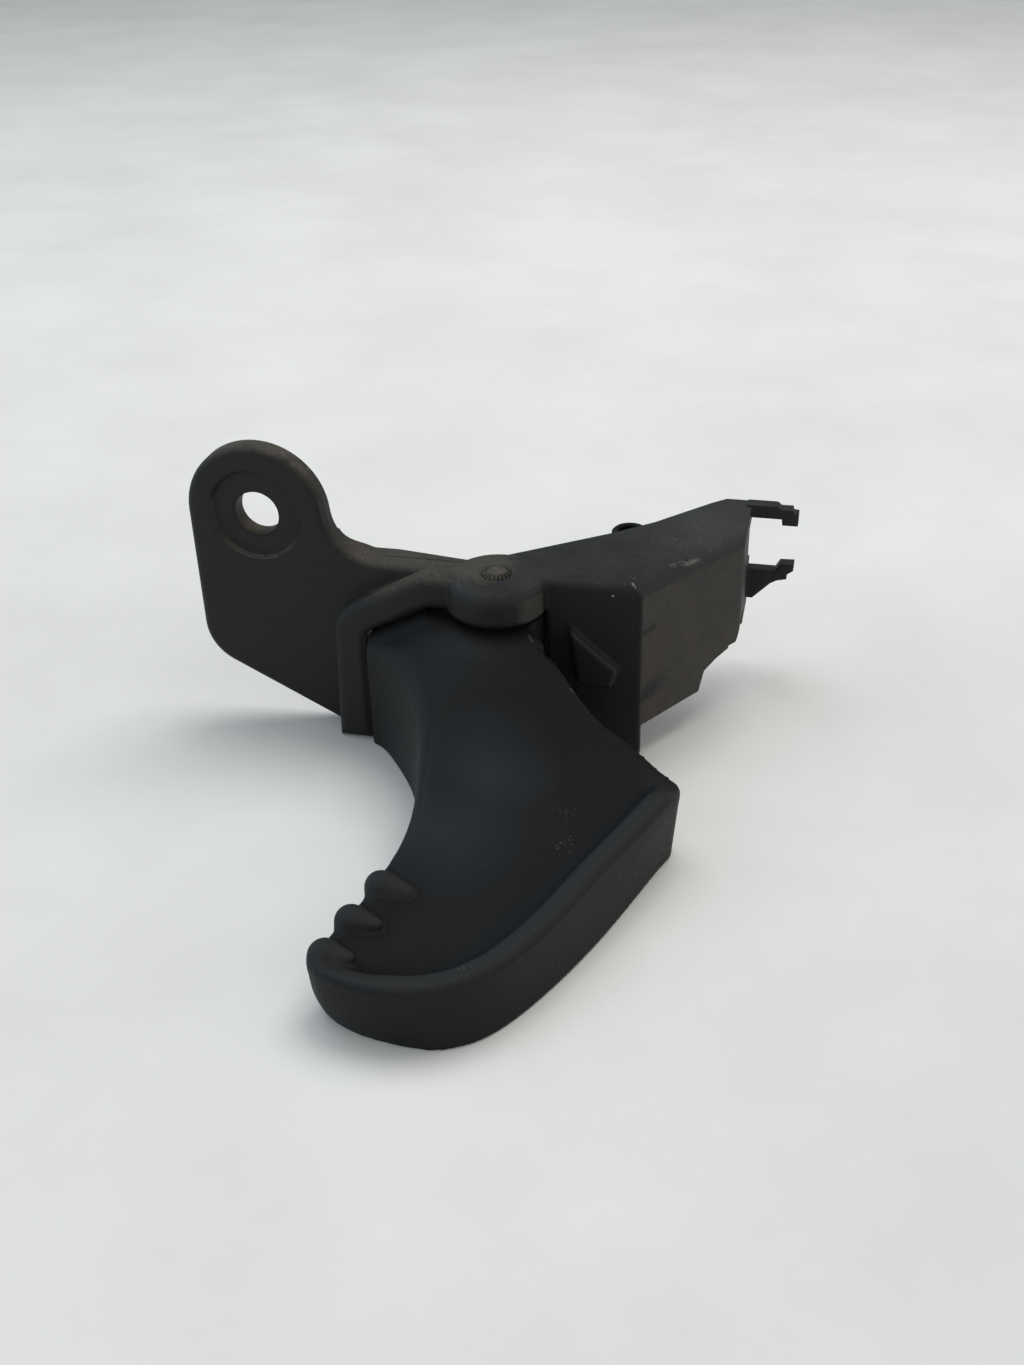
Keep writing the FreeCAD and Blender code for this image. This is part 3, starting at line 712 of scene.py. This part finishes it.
# Other marks seen on the bracket: lines as two ends and a width, specks as place and radius
ROOF_LINES = [
    ((32.8, 9.6, 38.9), (43.0, 18.8, 38.8), 0.9),
    ((36.6, 12.6, 38.8), (41.0, 16.4, 38.8), 0.7),
]
# Dust and a painted highlight on the ear seat's lower-right edge, and a painted highlight along the stop
# pad's upper edge
SEAT_EDGE_DUST_AND_HIGHLIGHT = ((-46.4, -0.9, 40.2), (-42.0, -0.9, 42.6), 0.9)
PAD_CREST_HIGHLIGHT = ((15.4, -2.5, 29.3), (25.1, -2.5, 21.6), 0.8)
CORNER_NICK = ((26.8, 0.9, 39.3), (28.2, -0.6, 38.9), 0.35)
PLATE_SPECK = ((23.4, -0.7, 37.0), 0.3)

# Marks seen on the lever
# Painted sheen: spots on the palm, as place and radius, where a reflection of the room is painted into the
# colour
PAINTED_SHEEN_SPOTS = [((0.0, -50.0, 14.0), 17.0), ((6.0, -34.0, 19.0), 14.0)]
# Pale speckled worn spots; the last, on the lip, is also a painted highlight
LEVER_WEAR_AND_LIP_HIGHLIGHT = [((21.7, -41.2, 15.5), 3.2), ((23.1, -47.7, 14.4), 3.0), ((12.9, -81.8, 12.5), 1.8)]
LEVER_LINES = [
    ((8.0, -8.1, 30.8), (9.3, -9.9, 30.2), 0.28),
    ((17.8, -16.0, 24.7), (19.0, -16.4, 23.9), 0.28),
]

# How strongly each kind of mark shows, from 0 to 1
# Share of the seat edge's dust and painted highlight and of the pad's painted highlight
EDGE_DUST_AND_HIGHLIGHT_SHARE = 0.4
STAIN_SHARE = 0.8
SMUDGE_SHARE = 0.85
ROOF_LINE_SHARE = 0.28
NICK_SHARE = 0.8
DUST_SPECK_SHARE = 0.5
LEVER_MARK_SHARE = 0.5

# Ranges over which a value comes in: from and to, then the least and the most that it gives if not 0 and 1
MOST_NOISE = (0.3, 0.7)
WALL_FACING = (0.93, 0.98)
TOP_FACING = (0.25, 0.9)
EAR_PATCHED = (0.35, 0.65)
TOP_PATCHED = (0.3, 0.75, 0.08, 0.45)
WALL_PATCHED = (0.3, 0.7, 0.35, 1.0)
WALL_FINE = (0.3, 0.6, 0.7, 1.1)
BROWN_DUST = (0.02, 0.2)
DUST_SPECKED = (0.68, 0.74)
BRACKET_ROUGH = (0.0, 1.0, 0.58, 0.85)
WALL_COARSER = (0.0, 1.0, 0.7, 1.6)
# The painted lip and bump highlights come in on faces that look up
LIP_FACING = (0.1, 0.7, 0.0, 0.9)
# The painted reflection on the left flank comes in on faces that look out of it
FLANK_REFLECTION_FACING = (0.2, 1.0, 0.0, 0.3)
PALM_FACING = (0.2, 1.0)
PALM_PATCHED = (0.35, 0.8, 0.0, 0.12)
# The painted sheen comes in on faces that look up
PAINTED_SHEEN_FACING = (0.5, 0.95, 0.0, 0.6)
WORN_SPECKED = (0.60, 0.68)
LEVER_ROUGH = (0.3, 0.7, 0.5, 0.6)
LINE_BROKEN = (0.42, 0.55)
RUSTED = (0.35, 0.7)
TEETH_SHADED = (-0.2, 0.5)
FLOOR_WORN_FROM = (0.35, 0.7)
# Radii on the pin's end, in metres, between which the painted spline shade begins
SPLINE_SHADE_FROM = (0.0017, 0.0021)

# Softness and raggedness of stains and worn spots and of smudges, and where a line starts to fade
STAIN_EDGE = {"soft": 0.9, "ragged": 0.6}
SMUDGE_EDGE = {"soft": 0.6, "ragged": 0.6}
LINE_FULL_LENGTH = 0.8
LINE_FULL_WIDTH = 0.4

# Other surface values: roughness that the haze and painted light add, and the steel's and the floor's
# settings
HAZE_ROUGH = 0.15
STEEL_METALLIC = 0.25
STEEL_ROUGH = 0.7
STEEL_RELIEF_M = 0.0002
FLOOR_ROUGH = 0.7


class Nodes:
    """Short calls for one node tree, whose places come from one kind of coordinate."""

    def __init__(self, tree, coordinate):
        self.tree = tree
        self.where = self.add("ShaderNodeTexCoord").outputs[coordinate]

    def add(self, kind, **settings):
        node = self.tree.nodes.new(kind)
        for key, value in settings.items():
            setattr(node, key, value)
        return node

    def link(self, a, b):
        self.tree.links.new(a, b)

    def noise(self, scale, detail, roughness):
        node = self.add("ShaderNodeTexNoise")
        node.inputs["Scale"].default_value = scale
        node.inputs["Detail"].default_value = detail
        node.inputs["Roughness"].default_value = roughness
        self.link(self.where, node.inputs["Vector"])
        return node.outputs["Fac"]

    def ramp(self, value, low, high, out_low=0.0, out_high=1.0):
        node = self.add("ShaderNodeMapRange")
        node.inputs["From Min"].default_value = low
        node.inputs["From Max"].default_value = high
        node.inputs["To Min"].default_value = out_low
        node.inputs["To Max"].default_value = out_high
        self.link(value, node.inputs["Value"])
        return node.outputs["Result"]

    def math(self, operation, a, b=None):
        node = self.add("ShaderNodeMath", operation=operation)
        for socket, v in zip(node.inputs, (a, b)):
            if isinstance(v, (int, float)):
                socket.default_value = v
            elif v is not None:
                self.link(v, socket)
        return node.outputs["Value"]

    def vector(self, operation, a, b=None, output="Vector"):
        node = self.add("ShaderNodeVectorMath", operation=operation)
        self.link(a, node.inputs[0])
        if b is not None:
            node.inputs[1].default_value = b
        return node.outputs[output]

    def split(self, vector):
        """The three parts of a vector."""
        node = self.add("ShaderNodeSeparateXYZ")
        self.link(vector, node.inputs["Vector"])
        return node.outputs["X"], node.outputs["Y"], node.outputs["Z"]

    def mix(self, share, a, b):
        node = self.add("ShaderNodeMix", data_type="RGBA")
        self.link(share, node.inputs["Factor"])
        for socket, v in ((node.inputs[6], a), (node.inputs[7], b)):
            if isinstance(v, tuple):
                socket.default_value = (*v, 1.0)
            else:
                self.link(v, socket)
        return node.outputs[2]

    def bump(self, height, distance, before=None):
        node = self.add("ShaderNodeBump")
        node.inputs["Strength"].default_value = 1.0
        node.inputs["Distance"].default_value = distance
        self.link(height, node.inputs["Height"])
        if before is not None:
            self.link(before, node.inputs["Normal"])
        return node.outputs["Normal"]


class MaterialNodes(Nodes):
    """The node tree of one new material, with places on the object itself."""

    def __init__(self, name):
        self.material = bpy.data.materials.new(name)
        self.material.use_nodes = True
        super().__init__(self.material.node_tree, "Object")
        self.shader = self.tree.nodes["Principled BSDF"]


# Shares from 0 to 1 that say where a mark lies
def facing(n, direction):
    """How far the surface faces a direction: 1 straight at it, 0 across it."""
    normal = n.add("ShaderNodeNewGeometry").outputs["Normal"]
    return n.vector("DOT_PRODUCT", normal, direction, "Value")


def spot(n, point, radius, soft=0.5, squash=EVEN, ragged=0.0):
    """1 inside a round or squashed patch about a place, fading to 0 at its edge."""
    offset = n.vector("SUBTRACT", n.where, place_of(point))
    scaled = n.vector("MULTIPLY", offset, tuple(1.0 / s for s in squash))
    reach = n.vector("LENGTH", scaled, output="Value")
    if ragged:
        shift = ragged * radius * MM
        reach = n.math("ADD", reach, n.ramp(n.noise(*RAGGED_EDGE), *MOST_NOISE, -shift, shift))
    return n.ramp(reach, radius * MM, radius * MM * (1 - soft))


def line_mark(n, start, end, width):
    """1 along a thin broken mark between two places."""
    middle = [(a + b) / 2 for a, b in zip(start, end)]
    half = Vector([(b - a) / 2 for a, b in zip(start, end)])
    offset = n.vector("SUBTRACT", n.where, place_of(middle))
    run = n.vector("DOT_PRODUCT", offset, half.normalized(), "Value")
    cross = n.vector("CROSS_PRODUCT", offset, half.normalized())
    away = n.vector("LENGTH", cross, output="Value")
    inside = n.ramp(n.math("ABSOLUTE", run), half.length * MM, half.length * MM * LINE_FULL_LENGTH)
    broken = n.ramp(n.noise(*BROKEN_LINE), *LINE_BROKEN)
    near = n.ramp(away, width * MM, width * MM * LINE_FULL_WIDTH)
    return n.math("MULTIPLY", n.math("MULTIPLY", inside, broken), near)


def joined(n, marks):
    """The strongest of several marks at each place."""
    total = marks[0]
    for mark in marks[1:]:
        total = n.math("MAXIMUM", total, mark)
    return total


def finish_plastic(n, colour, rough, shine, edge_soft, grain, grain_share=None):
    """The shader settings that both plastics share: colour, roughness, shine, grain and softened edges."""
    n.link(colour, n.shader.inputs["Base Color"])
    n.link(rough, n.shader.inputs["Roughness"])
    n.shader.inputs["Specular IOR Level"].default_value = shine
    scale, depth = grain
    height = n.noise(scale, 3.0, 0.6)
    if grain_share is not None:
        height = n.math("MULTIPLY", height, grain_share)
    soft_edge = n.add("ShaderNodeBevel", samples=6)
    soft_edge.inputs["Radius"].default_value = edge_soft
    n.link(n.bump(height, depth, soft_edge.outputs["Normal"]), n.shader.inputs["Normal"])
    return n.material


def bracket_dust_and_highlights(n, patchy):
    """The share of dust on faces that look up, with dust and a painted highlight on the ear seat's
    lower-right edge and a painted highlight along the stop pad's crest, and how much of it is heavy brown
    dust.
    """
    ear = n.math("MULTIPLY", spot(n, *EAR_DUST), n.ramp(n.noise(*EAR_PATCHES), *EAR_PATCHED))
    brown = [spot(n, *BOSS_DUST), spot(n, *FLANGE_DUST), n.math("MULTIPLY", ear, EAR_DUST_GAIN)]
    heavy = n.math("MULTIPLY", joined(n, brown), HEAVY_DUST)
    far_roof = n.math("MULTIPLY", spot(n, *FAR_ROOF_DUST), FAR_ROOF_GAIN)
    light = n.math("ADD", n.ramp(patchy, *TOP_PATCHED), far_roof)
    dust = n.math("MULTIPLY", n.ramp(facing(n, UP), *TOP_FACING), n.math("ADD", light, heavy))
    # Painted highlights in the dust colour: the seat's lower-right edge, also dusty, and the stop pad's
    # crest
    edge_dust_and_highlights = joined(n, [line_mark(n, *SEAT_EDGE_DUST_AND_HIGHLIGHT), line_mark(n, *PAD_CREST_HIGHLIGHT)])
    return n.math("MAXIMUM", dust, n.math("MULTIPLY", edge_dust_and_highlights, EDGE_DUST_AND_HIGHLIGHT_SHARE)), heavy


def bracket_plastic():
    """Black plastic with dust on top, a brown dusty wall, smudges and worn marks, and painted highlights on
    the ear seat's edge and the stop pad's crest.
    """
    n = MaterialNodes("bracket_moulding")
    wall = n.ramp(facing(n, WALL_OUTWARD), *WALL_FACING)
    patchy = n.noise(*DUST_PATCHES)
    dust_and_highlights, heavy = bracket_dust_and_highlights(n, patchy)
    fine = n.ramp(n.noise(*WALL_MOTTLE), *WALL_FINE)
    mottle = n.math("MULTIPLY", n.ramp(patchy, *WALL_PATCHED), fine)
    wall_dust = n.math("MULTIPLY", wall, mottle)
    stain = joined(n, [spot(n, p, r, **STAIN_EDGE) for p, r in WALL_STAINS])
    smudge = joined(n, [spot(n, p, r, squash=SMUDGE_SQUASH, **SMUDGE_EDGE) for p, r in WALL_SMUDGES])
    dust = n.mix(n.ramp(heavy, *BROWN_DUST), COOL_DUST, TOP_DUST)
    colour = n.mix(dust_and_highlights, BLACK_PLASTIC, dust)
    colour = n.mix(wall_dust, colour, n.mix(n.math("MULTIPLY", stain, STAIN_SHARE), WALL_DUST, STAIN))
    smudged = n.math("MULTIPLY", n.math("MULTIPLY", smudge, wall), SMUDGE_SHARE)
    colour = n.mix(smudged, colour, BLACK_PLASTIC)
    worn = n.math("MULTIPLY", joined(n, [line_mark(n, *m) for m in ROOF_LINES]), ROOF_LINE_SHARE)
    chipped = joined(n, [line_mark(n, *CORNER_NICK), spot(n, *PLATE_SPECK)])
    specks = n.ramp(n.noise(*DUST_SPECKS), *DUST_SPECKED)
    dusty_specks = n.math("MULTIPLY", specks, n.math("MULTIPLY", dust_and_highlights, DUST_SPECK_SHARE))
    pale = joined(n, [worn, n.math("MULTIPLY", chipped, NICK_SHARE), dusty_specks])
    colour = n.mix(pale, colour, PALE_MARK)
    rough = n.ramp(n.math("MAXIMUM", dust_and_highlights, wall_dust), *BRACKET_ROUGH)
    wall_grain = n.ramp(wall, *WALL_COARSER)
    return finish_plastic(n, colour, rough, BRACKET_SHINE, BRACKET_EDGE_SOFT, BRACKET_GRAIN, wall_grain)


def lever_plastic():
    """Blue-black plastic with patchy haze on the palm, painted highlights on the lip and the bumps' tops, a
    painted reflection on the left flank, a painted sheen in the palm, and worn marks, the one on the lip
    also a painted highlight.
    """
    n = MaterialNodes("lever_moulding")
    up = facing(n, UP)
    # Painted highlight along the lip and on the bumps' tops, on faces that look up
    lip = n.add("ShaderNodeAttribute", attribute_name="lip").outputs["Fac"]
    rim = n.math("MULTIPLY", lip, n.ramp(up, *LIP_FACING))
    # Painted reflection: the left flank is lightened as though it mirrored the floor
    flank_reflection = n.ramp(facing(n, FLANK_OUTWARD), *FLANK_REFLECTION_FACING)
    patches = n.ramp(n.noise(*HAZE_PATCHES), *PALM_PATCHED)
    palm = n.math("MULTIPLY", n.ramp(up, *PALM_FACING), patches)
    haze_and_painted_light = joined(n, [rim, flank_reflection, palm])
    # Painted sheen: a bluish reflection painted into the palm's colour inside these spots
    in_palm = joined(n, [spot(n, p, r, soft=1.0) for p, r in PAINTED_SHEEN_SPOTS])
    painted_sheen = n.math("MULTIPLY", n.ramp(up, *PAINTED_SHEEN_FACING), in_palm)
    colour = n.mix(haze_and_painted_light, n.mix(painted_sheen, LEVER_PLASTIC, PAINTED_PALM_SHEEN), LEVER_HAZE_AND_PAINTED_LIGHT)
    # Worn spots, the one on the lip also a painted highlight
    worn = joined(n, [spot(n, p, r, **STAIN_EDGE) for p, r in LEVER_WEAR_AND_LIP_HIGHLIGHT])
    worn_specks = n.math("MULTIPLY", worn, n.ramp(n.noise(*WORN_SPECKS), *WORN_SPECKED))
    pale = joined(n, [worn_specks] + [line_mark(n, *m) for m in LEVER_LINES])
    colour = n.mix(n.math("MULTIPLY", pale, LEVER_MARK_SHARE), colour, PALE_MARK)
    fine = n.ramp(n.noise(*LEVER_ROUGHNESS), *LEVER_ROUGH)
    rough = n.math("ADD", fine, n.math("MULTIPLY", haze_and_painted_light, HAZE_ROUGH))
    return finish_plastic(n, colour, rough, LEVER_SHINE, LEVER_EDGE_SOFT, LEVER_GRAIN)


def pin_finish():
    """Dull steel, dusty, with painted shade between the splines."""
    n = MaterialNodes("pin_steel")
    offset = n.vector("SUBTRACT", n.where, place_of((0.0, 0.0, TOP_Z)))
    across, ahead, _ = n.split(offset)
    angle = n.math("ARCTAN2", ahead, across)
    teeth = n.math("SINE", n.math("MULTIPLY", angle, PIN_SPLINES))
    rim = n.ramp(n.vector("LENGTH", offset, output="Value"), *SPLINE_SHADE_FROM)
    rust = n.noise(*PIN_RUST)
    colour = n.mix(n.ramp(rust, *RUSTED), DUSTY_STEEL, RUSTY_STEEL)
    # Painted shade between the splines on the pin's end
    colour = n.mix(n.math("MULTIPLY", rim, n.ramp(teeth, *TEETH_SHADED)), colour, SPLINE_SHADOW)
    height = n.math("MULTIPLY", n.math("ADD", rust, teeth), rim)
    n.link(colour, n.shader.inputs["Base Color"])
    n.shader.inputs["Metallic"].default_value = STEEL_METALLIC
    n.shader.inputs["Roughness"].default_value = STEEL_ROUGH
    n.link(n.bump(height, STEEL_RELIEF_M), n.shader.inputs["Normal"])
    return n.material


def floor_finish():
    n = MaterialNodes("pale_floor")
    worn = n.ramp(n.noise(*FLOOR_WEAR), *FLOOR_WORN_FROM)
    n.link(n.mix(worn, FLOOR_PALE, FLOOR_WORN), n.shader.inputs["Base Color"])
    n.shader.inputs["Roughness"].default_value = FLOOR_ROUGH
    return n.material


def paint(obj, material):
    if obj.material_slots:
        for holder in obj.material_slots:
            holder.material = material
    else:
        obj.data.materials.append(material)


bracket_finish = bracket_plastic()
lever_finish = lever_plastic()
paint(frame["nodes"]["bracket"], bracket_finish)
pin = make_pin()
paint(pin, pin_finish())
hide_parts("pivot_pin")
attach(pin, "frame")
flange_root = make_flange_root()
paint(flange_root, bracket_finish)
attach(flange_root, "frame")
for piece in (make_arm(), make_moulding()):
    paint(piece, lever_finish)
    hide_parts("lever")
    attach(piece, "lever")

# Floor, in metres: half its width, and how far it lies below the part
FLOOR_HALF = 4.0
FLOOR_DROP = 0.0001

# Room light: the least strength, what the sides, the front and the low part add, and its colours
ROOM_BASE = 0.14
ROOM_SIDES = 0.9
ROOM_FRONT = 0.6
ROOM_LOW = 0.3
ROOM_LOW_FROM = (0.4, 0.05)
ROOM_LEFT_COLOUR = (0.72, 0.88, 1.0)
ROOM_RIGHT_COLOUR = (1.0, 0.985, 0.96)
ROOM_TINT_FROM = (-0.5, 0.1)

# Lamps: name, offset from the part and size in metres, power, colour, and whether plastic mirrors it
LAMPS = [
    ("overhead", (0.25, 0.45, 1.1), 0.8, 7.5, (1.0, 0.99, 0.97), False),
    ("ceiling", (-0.35, 0.30, 1.1), 0.8, 3.5, (0.88, 0.95, 1.0), True),
]


def make_floor():
    mesh = bpy.data.meshes.new("floor")
    corners = [(-1, -1), (1, -1), (1, 1), (-1, 1)]
    mesh.from_pydata([(MIDDLE.x + x * FLOOR_HALF, MIDDLE.y + y * FLOOR_HALF, FLOOR_Z - FLOOR_DROP)
                      for x, y in corners], [], [(0, 1, 2, 3)])
    obj = new_object("floor", mesh)
    mesh.materials.append(floor_finish())


def add_lamp(name, offset, size, power, colour, mirrored):
    data = bpy.data.lights.new(name, "AREA")
    data.shape = "DISK"
    data.size = size
    data.energy = power
    data.color = colour
    obj = new_object(name, data)
    obj.location = MIDDLE + Vector(offset)
    obj.rotation_euler = (MIDDLE - obj.location).to_track_quat("-Z", "Y").to_euler()
    obj.visible_glossy = mirrored


def room_light(tree):
    """A room that is brighter in front, at both sides and low down, and bluer on the left."""
    n = Nodes(tree, "Generated")
    across, ahead, up = n.split(n.where)
    sides = n.math("MULTIPLY", n.math("MULTIPLY", across, across), ROOM_SIDES)
    front = n.ramp(ahead, 0.0, -1.0, 0.0, ROOM_FRONT)
    low = n.ramp(up, *ROOM_LOW_FROM, 0.0, ROOM_LOW)
    strength = n.math("ADD", n.math("ADD", n.math("ADD", sides, ROOM_BASE), front), low)
    background = tree.nodes["Background"]
    colour = n.mix(n.ramp(across, *ROOM_TINT_FROM), ROOM_LEFT_COLOUR, ROOM_RIGHT_COLOUR)
    n.link(colour, background.inputs["Color"])
    n.link(strength, background.inputs["Strength"])


def make_light():
    world = bpy.data.worlds.new("studio")
    world.use_nodes = True
    room_light(world.node_tree)
    bpy.context.scene.world = world
    for lamp in LAMPS:
        add_lamp(*lamp)


def make_camera():
    data = bpy.data.cameras.new("camera")
    data.sensor_width = SENSOR_LONG
    data.lens = FOCAL_PIXELS / PHOTO_HEIGHT * SENSOR_LONG
    data.clip_start = CLIP_START_M
    obj = new_object("camera", data)
    right, up = Vector(CAMERA_RIGHT), Vector(CAMERA_UP)
    turn = Matrix((right, up, right.cross(up))).transposed()
    obj.matrix_world = Matrix.Translation(place_of(CAMERA_EYE)) @ turn.to_4x4()
    bpy.context.scene.camera = obj


make_floor()
make_light()
make_camera()
bpy.context.scene.view_settings.view_transform = "Standard"
